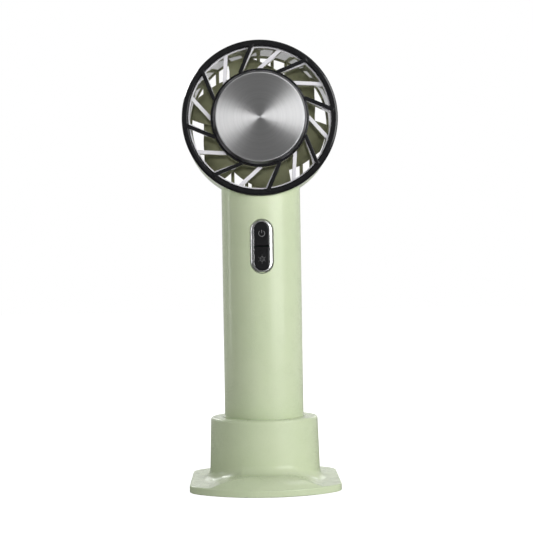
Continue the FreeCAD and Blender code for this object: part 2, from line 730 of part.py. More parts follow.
def rear_grille():
    """Upright slats, a seat for the motor, and a wide rib that carries its leads."""
    rim = hoop(BORE_R - GRILLE_RIM, LINER_R, SLATS_FRONT, SLATS_BACK)
    seat = drum(SEAT_R, SEAT_FRONT, SLATS_BACK)
    bars = [slat(i * SLAT_PITCH, SLAT_W / 2) for i in range(-SLAT_REACH, SLAT_REACH + 1)]
    bars += [slat(side * EDGE_SLAT_X, EDGE_SLAT_W / 2) for side in (-1, 1)]
    bars.append(block(-RIB_HALF_W, RIB_HALF_W, SLATS_FRONT, SLATS_BACK, HEAD_Z - HEAD_R, HEAD_Z))
    bars = fuse_all(bars).common(drum(BORE_R + 0.2, SLATS_FRONT, SLATS_BACK))
    holes = [drum(SCREW_R + SNAP_GAP, 0, BACK, *motor_screw_xz(i)) for i in range(SCREW_COUNT)]
    return fuse_all([rim, seat, bars]).cut(holes[0].multiFuse(holes[1:])).cut(lead_channel())


def lead_channel():
    """Groove down the back of the rib, turning forward through the motor seat."""
    w = CHANNEL_HALF_W
    floor = MOTOR_LEAD_Y - LEAD_R - SNAP_GAP
    end = HEAD_Z - MOTOR_LEAD_END_R + w - LEAD_PITCH / 2
    groove = block(-w, w, floor, SLATS_BACK + PAST, HEAD_Z - HEAD_R, end)
    low = end - 2 * LEAD_HOLE_R
    return groove.fuse(block(-w, w, SEAT_FRONT - PAST, floor + PAST, low, end))


# ---- head: cold plate ----
def cold_plate():
    front = FRONT - PLATE_PROUD
    return spun_head([
        (0, front), (PLATE_FLAT_R - PLATE_CHAMFER, front), (PLATE_FLAT_R, front + PLATE_CHAMFER / 2),
        (PLATE_R - PLATE_SHOULDER, front + PLATE_EDGE - 2 * PLATE_SHOULDER),
        (PLATE_R, front + PLATE_EDGE), (PLATE_R, FRONT), (0, FRONT)])


def heat_sink():
    base = drum(SINK_BASE_R, SINK_FRONT, SINK_FRONT + SINK_BASE)
    fins = []
    for i in range(-FIN_REACH, FIN_REACH + 1):
        x = i * FIN_PITCH
        z0, z1 = HEAD_Z - SINK_BASE_R, HEAD_Z + SINK_BASE_R
        fins.append(block(x - FIN_T / 2, x + FIN_T / 2, SINK_FRONT + SINK_BASE / 2, SINK_BACK, z0, z1))
    limit = drum(FIN_R, SINK_FRONT, SINK_BACK)
    return fuse_all([base] + [fin.common(limit) for fin in fins])


def cooler_square(y0, y1):
    half = PELTIER_SIDE / 2
    return block(-half, half, y0, y1, HEAD_Z - half, HEAD_Z + half)


def build_cooler():
    save("cold_plate", cold_plate())
    save("thermal_pad", cooler_square(FRONT + CLOSE_GAP, FRONT + PAD_GREASE_T))
    save("peltier_module", cooler_square(FRONT + PAD_GREASE_T, SINK_FRONT - CLOSE_GAP))
    save("heat_sink", heat_sink())
    save("hub_cup", hoop(CUP_R, PLATE_R - SLIDE_GAP, FRONT + HUB_SET_BACK, SINK_BACK + CUP_TAIL))
    gasket_front = FRONT + CLOSE_GAP
    save("plate_gasket", hoop(GASKET_R_IN, GASKET_R_OUT, gasket_front, gasket_front + GASKET_T))


# ---- head: motor and impeller ----
def blade_row(r):
    """Points across the first blade at radius r, from its front edge to its rear edge."""
    inward = BLADE_TIP_R - r
    ease = inward / (BLADE_R - HUB_CUP_R + PAST)
    ease = ease * ease * (3 - 2 * ease)
    start = BLADE_LEAN * inward
    end = -(BLADE_TIP_SPAN + BLADE_SPAN_RISE * inward + BLADE_ROOT_SPAN * ease)
    row = []
    for i in range(5):
        t = i / 4
        row.append(at_polar(r, start + (end - start) * t, BLADE_FRONT + (BLADE_BACK - BLADE_FRONT) * t))
    return row


def blade():
    """Twisted sheet from inside the hub's wall to the tip, thickened along the axis."""
    root = HUB_CUP_R - HUB_CUP_WALL / 2
    tip = BLADE_TIP_R - SNAP_GAP
    steps = 6
    sheet = Part.BSplineSurface()
    sheet.interpolate([blade_row(root + (tip - root) * i / steps) for i in range(steps + 1)])
    solid = sheet.toShape().extrude(Vector(0, BLADE_T, 0))
    return solid.common(drum(BLADE_R, ROTOR_FRONT, SLATS_FRONT))


def impeller():
    """Cup over the motor, open at the back, with a sleeve for the can and swept blades outside."""
    inner = ROTOR_FRONT + HUB_CUP_FRONT_T
    cup = drum(HUB_CUP_R, ROTOR_FRONT, ROTOR_BACK)
    cup = cup.makeFillet(HUB_CUP_ROUND, front_edges(cup, ROTOR_FRONT))
    cup = cup.cut(drum(HUB_CUP_R - HUB_CUP_WALL, inner, ROTOR_BACK + PAST))
    grip = hoop(CAN_R + SNAP_GAP, CAN_R + CAN_GRIP, inner - SNAP_GAP, CAN_BACK)
    shaft_hole = drum(SHAFT_R + SHAFT_GAP, ROTOR_FRONT - PAST, 0)
    blades = []
    for i in range(BLADE_COUNT):
        blades.append(around_head(blade(), BLADE_ANGLE + i * 360 / BLADE_COUNT))
    return fuse_all([cup, grip] + blades).cut(shaft_hole)


def rotor_can():
    front = ROTOR_FRONT + HUB_CUP_FRONT_T + SNAP_GAP
    hollow = drum(CAN_R - CAN_WALL, front + CAN_WALL, CAN_BACK + PAST)
    return drum(CAN_R, front, CAN_BACK).cut(hollow).cut(drum(SHAFT_R + SHAFT_GAP, front - PAST, CAN_BACK))


def motor_screw_xz(i):
    a = math.radians(90 + i * 360 / SCREW_COUNT)
    return SCREW_CIRCLE_R * math.cos(a), SCREW_CIRCLE_R * math.sin(a)


def motor_screws():
    screws = []
    for i in range(SCREW_COUNT):
        x, z = motor_screw_xz(i)
        head_back = SLATS_BACK + SCREW_HEAD_T
        shank = drum(SCREW_R, SCREW_FRONT, SLATS_BACK, x, z)
        head = drum(SCREW_HEAD_R, SLATS_BACK, head_back, x, z)
        screws.append(shank.fuse(head.cut(drum(DRIVE_R, head_back - DRIVE_DEPTH, BACK, x, z))))
    return Part.makeCompound(screws)


def stator():
    core = hoop(SLEEVE_OUT_R + SNAP_GAP, CORE_R, CORE_FRONT, CORE_BACK)
    z0, z1 = HEAD_Z - SLOT_HALF_W, HEAD_Z + SLOT_HALF_W
    slot = block(SLOT_IN_R, SLOT_OUT_R, CORE_FRONT - PAST, CORE_BACK + PAST, z0, z1)
    slots = [around_head(slot, i * 360 / SLOT_COUNT) for i in range(SLOT_COUNT)]
    return core.cut(slots[0].multiFuse(slots[1:]))


def motor_base():
    plate = hoop(SLEEVE_OUT_R + SHAFT_GAP, BASE_R, BASE_FRONT, BASE_BACK)
    holes = []
    for i in range(SCREW_COUNT):
        holes.append(drum(SCREW_R + SHAFT_GAP, BASE_FRONT - PAST, BASE_BACK + PAST, *motor_screw_xz(i)))
    return plate.cut(holes[0].multiFuse(holes[1:]))


def motor_bearings():
    bore = SHAFT_R + BEARING_GAP
    return Part.makeCompound([hoop(bore, BEARING_R, y, y + BEARING_T) for y in BEARING_FRONTS])


def build_motor():
    save("impeller", impeller())
    save("rotor_can", rotor_can())
    magnet_r = CAN_R - CAN_WALL - SNAP_GAP
    save("rotor_magnet", hoop(magnet_r - MAGNET_T, magnet_r, MAGNET_FRONT, CAN_BACK - MAGNET_T / 2))
    save("motor_shaft", drum(SHAFT_R, SHAFT_FRONT, SHAFT_BACK))
    save("motor_bearings", motor_bearings())
    save("bearing_sleeve", hoop(BEARING_R + SNAP_GAP, SLEEVE_OUT_R, SLEEVE_FRONT, BASE_BACK))
    save("stator", stator())
    save("motor_base", motor_base())
    save("motor_screws", motor_screws())


def cooler_leads():
    """Inside the handle, through the shell, then inwards behind a spoke of the guard."""
    x, y = COOLER_LEAD_X, COOLER_LEAD_Y
    outer = at_polar(COOLER_LEAD_R, SPOKE_ANGLE - 90, y)
    inner = at_polar(HUB_R, SPOKE_ANGLE - 90 + SPOKE_SWEEP, y)
    board_y = 2 * BOARD_CLEAR - BOARD_BACK
    z = COOLER_LEAD_Z
    points = [Vector(x, board_y, z[0]), Vector(x, board_y, z[1]), Vector(x, y, z[2])]
    points += [Vector(x, y, outer.z), inner]
    return lead_pair(points, Vector(0, LEAD_PITCH, 0))


def motor_leads():
    """Up the back of the handle, along the rear rib, then forward to the motor."""
    x = -LEAD_PITCH / 2
    end_z = HEAD_Z - MOTOR_LEAD_END_R
    z = MOTOR_LEAD_Z
    points = [Vector(x, 1.5 * BOARD_CLEAR - BOARD_BACK, z[0]), Vector(x, 0, z[1])]
    points += [Vector(x, MOTOR_LEAD_Y, z[2]), Vector(x, MOTOR_LEAD_Y, end_z)]
    points += [Vector(x, BASE_BACK + LEAD_R / 2, end_z)]
    return lead_pair(points, Vector(LEAD_PITCH, 0, 0))


def build_leads():
    save("peltier_leads", cooler_leads())
    save("motor_leads", motor_leads())


def build_head():
    save("head_shell", head_shell())
    save("duct_liner", duct_liner())
    save("front_grille", front_grille())
    save("inner_guard", inner_guard())
    save("rear_cover", rear_cover())
    save("rear_grille", rear_grille())


os.makedirs("parts", exist_ok=True)
build_stand()
build_handle()
build_head()
build_cooler()
build_motor()
build_leads()
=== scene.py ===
import json
import math

import bmesh
import bpy
from mathutils import Matrix, Vector


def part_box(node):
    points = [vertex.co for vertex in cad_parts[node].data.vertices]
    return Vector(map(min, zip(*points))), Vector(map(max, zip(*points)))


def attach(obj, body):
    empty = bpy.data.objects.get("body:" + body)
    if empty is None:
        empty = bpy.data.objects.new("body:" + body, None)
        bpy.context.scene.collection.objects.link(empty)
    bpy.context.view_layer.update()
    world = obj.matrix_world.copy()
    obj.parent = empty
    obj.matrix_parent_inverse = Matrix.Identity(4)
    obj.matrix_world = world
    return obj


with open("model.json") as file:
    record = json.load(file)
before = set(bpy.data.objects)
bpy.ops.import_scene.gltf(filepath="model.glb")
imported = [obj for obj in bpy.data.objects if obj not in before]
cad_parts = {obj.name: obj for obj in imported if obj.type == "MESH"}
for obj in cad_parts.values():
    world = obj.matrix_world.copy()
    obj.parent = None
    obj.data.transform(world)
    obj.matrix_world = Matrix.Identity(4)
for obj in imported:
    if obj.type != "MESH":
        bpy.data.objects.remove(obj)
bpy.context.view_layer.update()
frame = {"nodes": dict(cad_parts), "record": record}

MM = 0.001

# ---- camera: in front, about level with the object's middle, rolled by under a degree ----
CAMERA_AT = Vector((-0.0050, -0.665, 0.0966))
LOOK_AT = Vector((0.0021, 0.0, 0.0996))
CAMERA_ROLL = math.radians(0.93)
LENS = 98.0
SENSOR = 36.0
NEAR_CLIP = 0.01

# ---- studio: what lights the object; the camera itself sees a white backdrop ----
WALL_FRONT = 0.19           # brightness of the surroundings on the camera's side
WALL_BEHIND = 0.55
WALL_SPAN = (0.25, 0.85)    # backward share of a direction, over which the brightness changes
FLOOR_REACH = 3.0
TABLE_SEEN = (0.5, 0.5, 0.5)
TABLE_SEEN_GLOW = 0.92      # lifts the table to white for the camera
TABLE_LIT = (0.75, 0.75, 0.75)      # to all rays but the camera's
TABLE_MIRRORED = (0.07, 0.07, 0.07)     # to reflections
TABLE_BEHIND = 0.45         # glow behind the object, again to all rays but the camera's
TABLE_BEHIND_SPAN = (0.1, 0.6)      # metres behind the object's axis
LIT_POINT = Vector((0, 0, 0.1))     # what the softboxes aim at

# degrees, metres and watts; azimuth counts from the front towards +X
SOFTBOXES = {
    "key": dict(azimuth=44, elevation=12, distance=1.2, size=(0.9, 0.85), power=11.0),
    "fill": dict(azimuth=-8, elevation=4, distance=1.3, size=(1.2, 1.2), power=4.3, mirrored=False),
    "overhead": dict(azimuth=130, elevation=62, distance=1.0, size=(0.35, 0.35), power=1.2),
    "left_strip": dict(azimuth=-110, elevation=8, distance=1.1, size=(0.12, 0.9), power=1.3),
    "left_spot": dict(azimuth=-143, elevation=26, distance=1.0, size=(0.25, 0.2), power=2.2),
    "back_panel": dict(azimuth=180, elevation=14, distance=1.5, size=(1.5, 0.25), power=2.6),
}
SNOOT_DISTANCE = 1.5
SNOOT_CONE = 2.7            # degrees, about as wide as the head
SNOOT_POWER = 19.0
SNOOT_BLEND = 0.1
SNOOT_BULB = 0.01           # metres

# ---- finishes ----
WIDE = (0.3, 0.7)           # nearly all of a noise's values: a soft change
MIDDLE = (0.35, 0.65)       # a stronger change between two tones
BEVEL_SAMPLES = 6
GRAIN_ROUGH = (-0.06, 0.08)     # how far the grain shifts the roughness of a part inside
EDGE_TURN = (0.7, 0.97)     # cosine between the true and the softened face direction: an edge, an open face
# edge tone in patches: rubbed wear on most mouldings, painted highlight on the pale duct
WEAR_AND_HIGHLIGHT_PATCH = 1.6            # mm
WEAR_AND_HIGHLIGHT_SPAN = (0.4, 0.65)

CHROME_TONES = ((0.92, 0.92, 0.93), (0.98, 0.98, 0.99))
INK_TONES = ((0.17, 0.17, 0.175), (0.12, 0.12, 0.123))

DISC_FACE_SHARE = 0.947     # share of the disc's radius that its flat face takes
DISC_FACE_TONES = ((0.70, 0.70, 0.705), (0.96, 0.96, 0.965))
# painted shade: the bevel's metal tone is darkened so that it looks as dark as the reflections on it
DISC_BEVEL_PAINTED_SHADE = (0.36, 0.36, 0.37)
BEVEL_BLEND = 0.15 * MM
CUT_LINE_INNER = 0.45 * MM  # the cut line begins this far inside the face's edge
CUT_LINE_FULL = 0.25 * MM
CUT_LINE_ROUGH = 0.3
FINE_RINGS = 6000.0         # lathe rings per metre of radius
BROAD_RINGS = 700.0
BRUSH_PULL = 0.86           # how far the rings stretch a highlight
ALONG_THE_RINGS = 0.25      # turn of the stretch, in full turns

INNER_FINISHES = {
    "black_foam": dict(low=(0.02, 0.02, 0.021), high=(0.05, 0.05, 0.052), rough=0.75, grain=0.5, relief=0.03),
    "plated_steel": dict(low=(0.42, 0.42, 0.43), high=(0.58, 0.58, 0.59), rough=0.28, grain=0.3,
                         metallic=1.0),
    "cell_wrap": dict(low=(0.02, 0.10, 0.30), high=(0.03, 0.14, 0.38), rough=0.3, grain=4.0),
    "inner_black": dict(low=(0.02, 0.02, 0.021), high=(0.04, 0.04, 0.041), rough=0.5, grain=0.3),
    "circuit_board": dict(low=(0.01, 0.11, 0.04), high=(0.015, 0.17, 0.06), rough=0.35, grain=0.8),
    "switch_parts": dict(low=(0.03, 0.03, 0.03), high=(0.06, 0.06, 0.06), rough=0.45, grain=0.3),
    "port_steel": dict(low=(0.5, 0.5, 0.51), high=(0.68, 0.68, 0.69), rough=0.25, grain=0.3, metallic=1.0,
                       relief=0.001),
    "light_lens": dict(low=(0.72, 0.74, 0.72), high=(0.8, 0.82, 0.8), rough=0.25, grain=0.5),
    "lead_cover": dict(low=(0.03, 0.03, 0.03), high=(0.06, 0.06, 0.06), rough=0.4, grain=0.4),
    "heat_pad": dict(low=(0.35, 0.36, 0.38), high=(0.45, 0.46, 0.48), rough=0.8, grain=0.4),
    "cooler_ceramic": dict(low=(0.75, 0.75, 0.73), high=(0.85, 0.85, 0.83), rough=0.5, grain=0.3),
    "sink_metal": dict(low=(0.5, 0.5, 0.51), high=(0.65, 0.65, 0.66), rough=0.35, grain=0.4, metallic=1.0),
    "magnet": dict(low=(0.03, 0.03, 0.032), high=(0.06, 0.06, 0.063), rough=0.55, grain=0.2),
    "sleeve_brass": dict(low=(0.55, 0.38, 0.12), high=(0.68, 0.5, 0.2), rough=0.3, grain=0.3, metallic=1.0),
    "stator_core": dict(low=(0.35, 0.13, 0.04), high=(0.5, 0.22, 0.08), rough=0.4, grain=0.3, metallic=0.6,
                        relief=0.02),
}

# ---- key symbols ----
UP = 90                     # degrees
SYMBOL_R = 1.35 * MM
SYMBOL_PLACE = 0.49         # share of the way from the split between the keys to a key's far end
STROKE = 0.30 * MM
THIN_STROKE = 0.16 * MM
STROKE_RISE = 0.03 * MM
RING_GAP = 38               # half of the opening in the power symbol's ring, degrees
RING_STEP = 6
UPRIGHT_STOPS = (0.1, 0.6, 1.15)    # shares of the symbol's radius, as are the arm's, dot's and fork's places
ARMS = 6
ARM_STOPS = (0.25, 0.6, 1.0)
DOT_AT = 1.3
DOT_R = THIN_STROKE * 0.8
DOT_SIDES = 8
FORK_AT = 0.55
TWIG_REACH = 0.4
TWIG_TURN = 50              # degrees off the arm
TWIG_STOPS = (0.3, 0.65, 1.0)       # shares of the twig's length
TWIG_STROKE = THIN_STROKE * 0.8


# ---- node helpers: owner is a material or the world ----
def new_material(name):
    """Empty node material with a Principled shader; returns the material and that shader node."""
    material = bpy.data.materials.new(name)
    material.use_nodes = True
    return material, material.node_tree.nodes["Principled BSDF"]


def set_inputs(node, values):
    for name, value in values.items():
        node.inputs[name].default_value = value


def add_node(owner, kind, **settings):
    """New node; a setting is a value on one of its sockets, or else one of its properties."""
    node = owner.node_tree.nodes.new(kind)
    for key, value in settings.items():
        if key in node.inputs:
            node.inputs[key].default_value = value
        else:
            setattr(node, key, value)
    return node


def link(owner, source, target):
    owner.node_tree.links.new(source, target)


def place(material, stretch=(1, 1, 1)):
    """Position on the part in metres, stretched along each axis."""
    coords = add_node(material, "ShaderNodeTexCoord")
    mapping = add_node(material, "ShaderNodeMapping", Scale=stretch)
    link(material, coords.outputs["Object"], mapping.inputs["Vector"])
    return mapping.outputs["Vector"]


def noise(material, where, size_mm, detail):
    """Noise whose blobs are about size_mm across."""
    node = add_node(material, "ShaderNodeTexNoise", Scale=1 / (size_mm * MM), Detail=detail)
    link(material, where, node.inputs["Vector"])
    return node.outputs["Fac"]


def ring_noise(material, radius, per_metre, detail, rough=0.5):
    """Noise that changes with the distance from an axis only."""
    node = add_node(material, "ShaderNodeTexNoise", noise_dimensions="1D", Scale=per_metre, Detail=detail,
                    Roughness=rough)
    link(material, radius, node.inputs["W"])
    return node.outputs["Fac"]


def ramp(owner, value, span, to=(0, 1), curve="LINEAR"):
    """Carry a value from a span to the range to, and hold it at the ends."""
    node = add_node(owner, "ShaderNodeMapRange", interpolation_type=curve)
    set_inputs(node, {"From Min": span[0], "From Max": span[1], "To Min": to[0], "To Max": to[1]})
    link(owner, value, node.inputs["Value"])
    return node.outputs["Result"]


def mix_colour(material, factor, a, b):
    """Fixed colours a and b, mixed by a socket."""
    node = add_node(material, "ShaderNodeMix", data_type="RGBA", A=(*a, 1), B=(*b, 1))
    link(material, factor, node.inputs["Factor"])
    return node.outputs["Result"]


def blend_to(material, colour, other, factor):
    """A colour socket that turns into a fixed colour as factor goes from 0 to 1."""
    node = add_node(material, "ShaderNodeMix", data_type="RGBA", B=(*other, 1))
    link(material, factor, node.inputs["Factor"])
    link(material, colour, node.inputs["A"])
    return node.outputs["Result"]


def combine(material, operation, a, b):
    """Maths on two sockets, or on a socket and a number."""
    node = add_node(material, "ShaderNodeMath", operation=operation)
    for slot, value in zip(node.inputs, (a, b)):
        if isinstance(value, (int, float)):
            slot.default_value = value
        else:
            link(material, value, slot)
    return node.outputs["Value"]


def softened_normal(material, width_mm):
    """Face direction with the edges rounded over width_mm."""
    node = add_node(material, "ShaderNodeBevel", samples=BEVEL_SAMPLES, Radius=width_mm * MM)
    return node.outputs["Normal"]


def bump(material, shader, height, depth_mm, soften_mm=0.0):
    """Relief of the given depth, over edges that look softened by soften_mm."""
    node = add_node(material, "ShaderNodeBump", Strength=1.0, Distance=depth_mm * MM)
    link(material, height, node.inputs["Height"])
    if soften_mm:
        link(material, softened_normal(material, soften_mm), node.inputs["Normal"])
    link(material, node.outputs["Normal"], shader.inputs["Normal"])


def edge_mask(material, width_mm):
    """1 on edges that turn within width_mm, 0 on open faces."""
    soft = softened_normal(material, width_mm)
    true = add_node(material, "ShaderNodeNewGeometry")
    likeness = add_node(material, "ShaderNodeVectorMath", operation="DOT_PRODUCT")
    link(material, soft, likeness.inputs[0])
    link(material, true.outputs["Normal"], likeness.inputs[1])
    return ramp(material, likeness.outputs["Value"], EDGE_TURN, to=(1, 0))


def tint_edges(material, colour, worn, width_mm, strength):
    """Blend a colour socket towards a lighter tone along edges, in patches: rubbed wear on most mouldings,
    painted highlight on the pale duct.
    """
    blotches = noise(material, place(material), size_mm=WEAR_AND_HIGHLIGHT_PATCH, detail=4)
    patches = ramp(material, blotches, WEAR_AND_HIGHLIGHT_SPAN, to=(0, strength))
    wear_and_highlight = combine(material, "MULTIPLY", edge_mask(material, width_mm), patches)
    return blend_to(material, colour, worn, wear_and_highlight)


def by_ray(owner, camera, others):
    """Shader socket that shows one shader to the camera and another to every other ray."""
    path = add_node(owner, "ShaderNodeLightPath")
    switch = add_node(owner, "ShaderNodeMixShader")
    link(owner, path.outputs["Is Camera Ray"], switch.inputs["Fac"])
    link(owner, others, switch.inputs[1])
    link(owner, camera, switch.inputs[2])
    return switch.outputs["Shader"]


def add_shaders(owner, a, b):
    node = add_node(owner, "ShaderNodeAddShader")
    link(owner, a, node.inputs[0])
    link(owner, b, node.inputs[1])
    return node.outputs["Shader"]


# ---- materials ----
def moulded(name, low, high, flow, flow_detail, worn, wear_and_highlight_width, wear_and_highlight, flow_span=MIDDLE):
    """Moulded plastic in two close tones that drift over flow mm, with a lighter tone along its edges: rubbed
    wear, and on the pale duct a painted highlight.

    Returns the material, its shader and its position socket.
    """
    material, shader = new_material(name)
    here = place(material)
    tint = ramp(material, noise(material, here, size_mm=flow, detail=flow_detail), flow_span)
    colour = mix_colour(material, tint, low, high)
    link(material, tint_edges(material, colour, worn, wear_and_highlight_width, wear_and_highlight), shader.inputs["Base Color"])
    return material, shader, here


def green_plastic():
    """Pale green moulding with a satin skin, faint flow tint and a few rubbed patches."""
    material, shader, here = moulded(
        "green_plastic", low=(0.60, 0.685, 0.46), high=(0.625, 0.70, 0.48), flow=26, flow_detail=2,
        worn=(0.72, 0.78, 0.60), wear_and_highlight_width=0.35, wear_and_highlight=0.5)
    grain = noise(material, here, size_mm=0.35, detail=2)
    rubbed = ramp(material, noise(material, here, size_mm=9, detail=4), (0.45, 0.7), to=(0.0, 0.05))
    rough = combine(material, "ADD", ramp(material, grain, WIDE, to=(0.24, 0.31)), rubbed)
    link(material, rough, shader.inputs["Roughness"])
    set_inputs(shader, {"Subsurface Weight": 0.05, "Subsurface Radius": (0.0015, 0.0018, 0.001)})
    set_inputs(shader, {"Specular IOR Level": 0.3, "Coat Weight": 0.16, "Coat Roughness": 0.10})
    bump(material, shader, grain, depth_mm=0.0025, soften_mm=0.25)
    return material


def gloss_black():
    """Polished black moulding with hairline swirls and slight waviness."""
    material, shader, here = moulded(
        "gloss_black", low=(0.006, 0.006, 0.007), high=(0.010, 0.010, 0.011), flow=3.0, flow_detail=3,
        worn=(0.05, 0.05, 0.052), wear_and_highlight_width=0.25, wear_and_highlight=0.6)
    wave = noise(material, here, size_mm=2.2, detail=1)
    hair = noise(material, place(material, stretch=(1, 1, 14)), size_mm=0.5, detail=3)
    ripple = ramp(material, wave, (0.4, 0.7), to=(0, 0.05))
    rough = combine(material, "ADD", ramp(material, hair, (0.35, 0.7), to=(0.06, 0.14)), ripple)
    link(material, rough, shader.inputs["Roughness"])
    bump(material, shader, wave, depth_mm=0.004, soften_mm=0.5)
    return material


def pale_duct():
    """Glossy cool white moulding of the air passage and the inner guard, with a painted pale yellow-green
    highlight along its edges.
    """
    material, shader, here = moulded(
        "pale_duct", low=(0.68, 0.67, 0.71), high=(0.74, 0.73, 0.76), flow=7, flow_detail=3,
        # painted highlight: the pale yellow-green edge tone stands for the lit edges of the guard bars, not
        # for wear
        worn=(0.86, 0.88, 0.74), wear_and_highlight_width=0.3, wear_and_highlight=0.7)
    fine = noise(material, here, size_mm=0.8, detail=3)
    link(material, ramp(material, fine, WIDE, to=(0.05, 0.10)), shader.inputs["Roughness"])
    set_inputs(shader, {"Coat Weight": 1.0, "Coat Roughness": 0.03})
    bump(material, shader, noise(material, here, size_mm=3.0, detail=1), depth_mm=0.006, soften_mm=0.15)
    return material


def olive_plastic():
    """Dark olive satin moulding of the impeller and the rear slats."""
    material, shader, here = moulded(
        "olive_plastic", low=(0.32, 0.33, 0.195), high=(0.355, 0.365, 0.22), flow=5, flow_detail=4,
        flow_span=(0.35, 0.7), worn=(0.52, 0.54, 0.38), wear_and_highlight_width=0.3, wear_and_highlight=0.7)
    grain = noise(material, here, size_mm=0.25, detail=2)
    link(material, ramp(material, grain, WIDE, to=(0.36, 0.48)), shader.inputs["Roughness"])
    bump(material, shader, grain, depth_mm=0.004, soften_mm=0.2)
    return material


def radial_position(material, centre):
    """Distance from an axis along Y through centre, in metres."""
    coords = add_node(material, "ShaderNodeTexCoord")
    offset = add_node(material, "ShaderNodeVectorMath", operation="SUBTRACT")
    offset.inputs[1].default_value = centre
    link(material, coords.outputs["Object"], offset.inputs[0])
    flat = add_node(material, "ShaderNodeVectorMath", operation="MULTIPLY")
    flat.inputs[1].default_value = (1, 0, 1)
    link(material, offset.outputs["Vector"], flat.inputs[0])
    length = add_node(material, "ShaderNodeVectorMath", operation="LENGTH")
    link(material, flat.outputs["Vector"], length.inputs[0])
    return length.outputs["Value"]


def disc_colour(material, radius, rings, bevel):
    """Streaks of two tones across the face, and one darker tone on the bevel: painted shade that stands in
    for the dark reflections the bevel shows.
    """
    fine = ramp(material, rings, MIDDLE, to=(0, 0.75))
    broad = ramp(material, ring_noise(material, radius, BROAD_RINGS, detail=3.0), WIDE, to=(0, 0.25))
    face = mix_colour(material, combine(material, "ADD", fine, broad), *DISC_FACE_TONES)
    return blend_to(material, face, DISC_BEVEL_PAINTED_SHADE, bevel)


def brushed_disc(centre, face_r):
    """Aluminium turned on a lathe: fine rings, a bright cut line around the face, and a bevel outside it
    darkened with painted shade.
    """
    material, shader = new_material("brushed_metal")
    radius = radial_position(material, centre)
    rings = ring_noise(material, radius, FINE_RINGS, detail=5.0, rough=0.8)
    bevel = ramp(material, radius, (face_r, face_r + BEVEL_BLEND))
    inside = ramp(material, radius, (face_r - CUT_LINE_INNER, face_r - CUT_LINE_FULL))
    cut_line = combine(material, "SUBTRACT", inside, bevel)
    link(material, disc_colour(material, radius, rings, bevel), shader.inputs["Base Color"])
    brushed = ramp(material, rings, WIDE, to=(0.30, 0.40))
    rough = combine(material, "ADD", brushed, combine(material, "MULTIPLY", cut_line, CUT_LINE_ROUGH))
    link(material, rough, shader.inputs["Roughness"])
    link(material, ramp(material, cut_line, (0, 1), to=(BRUSH_PULL, 0)), shader.inputs["Anisotropic"])
    set_inputs(shader, {"Metallic": 1.0, "Anisotropic Rotation": ALONG_THE_RINGS})
    tangent = add_node(material, "ShaderNodeTangent", direction_type="RADIAL", axis="Y")
    link(material, tangent.outputs["Tangent"], shader.inputs["Tangent"])
    bump(material, shader, rings, depth_mm=0.0012, soften_mm=0.15)
    return material


def chrome():
    """Bright plating with faint polishing marks."""
    material, shader = new_material("bezel_chrome")
    marks = noise(material, place(material, stretch=(1, 1, 8)), size_mm=0.4, detail=3)
    tone = mix_colour(material, ramp(material, marks, WIDE), *CHROME_TONES)
    link(material, tone, shader.inputs["Base Color"])
    set_inputs(shader, {"Metallic": 1.0})
    link(material, ramp(material, marks, WIDE, to=(0.18, 0.28)), shader.inputs["Roughness"])
    bump(material, shader, marks, depth_mm=0.001, soften_mm=0.12)
    return material


def plain_part(name, low, high, rough, grain, metallic=0.0, relief=0.003):
    """Two-tone grained finish for the parts inside; grain and relief in mm."""
    material, shader = new_material(name)
    speckle = noise(material, place(material), size_mm=grain, detail=4)
    tone = mix_colour(material, ramp(material, speckle, WIDE), low, high)
    link(material, tone, shader.inputs["Base Color"])
    roughness = [rough + shift for shift in GRAIN_ROUGH]
    link(material, ramp(material, speckle, WIDE, to=roughness), shader.inputs["Roughness"])
    set_inputs(shader, {"Metallic": metallic})
    bump(material, shader, speckle, depth_mm=relief, soften_mm=0.1)
    return material


def symbol_ink():
    """Dark grey printed ink, slightly worn."""
    material, shader = new_material("symbol_ink")
    worn = noise(material, place(material), size_mm=0.3, detail=4)
    tone = mix_colour(material, ramp(material, worn, (0.4, 0.7)), *INK_TONES)
    link(material, tone, shader.inputs["Base Color"])
    link(material, ramp(material, worn, WIDE, to=(0.35, 0.5)), shader.inputs["Roughness"])
    bump(material, shader, worn, depth_mm=0.001)
    return material


# ---- CAD nodes ----
def head_centre():
    low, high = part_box("cold_plate")
    return (low + high) / 2


def disc_face_radius():
    low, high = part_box("cold_plate")
    return (high.x - low.x) / 2 * DISC_FACE_SHARE


def dress_cad_nodes():
    """Give every CAD node the finish of its material slot."""
    finishes = {name: plain_part(name, **finish) for name, finish in INNER_FINISHES.items()}
    finishes["green_plastic"] = green_plastic()
    finishes["gloss_black"] = gloss_black()
    finishes["pale_duct"] = pale_duct()
    finishes["olive_plastic"] = olive_plastic()
    finishes["brushed_metal"] = brushed_disc(head_centre(), disc_face_radius())
    finishes["bezel_chrome"] = chrome()
    for part in frame["record"]["subparts"]:
        mesh = frame["nodes"][part["node"]].data
        mesh.materials.clear()
        mesh.materials.append(finishes[part["material_slot"]])


# ---- new objects ----
def add_object(name, data):
    item = bpy.data.objects.new(name, data)
    bpy.context.scene.collection.objects.link(item)
    return item


def mesh_object(name, bm, material):
    """Object from a finished bmesh, which is freed."""
    mesh = bpy.data.meshes.new(name)
    bm.to_mesh(mesh)
    bm.free()
    mesh.materials.append(material)
    return add_object(name, mesh)


# ---- symbols on the keys ----
def polar(centre, r, degrees):
    """Point at an angle around centre, in the plane that faces the camera."""
    a = math.radians(degrees)
    return centre + Vector((r * math.cos(a), 0, r * math.sin(a)))


def symbol_places():
    """Middle of each key's symbol, and the radius of the keys' round face."""
    upper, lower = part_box("power_button"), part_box("cooling_button")
    split = (upper[0].z + lower[1].z) / 2
    reach = (upper[1].z - split) * SYMBOL_PLACE
    return Vector((0, 0, split + reach)), Vector((0, 0, split - reach)), -upper[0].y


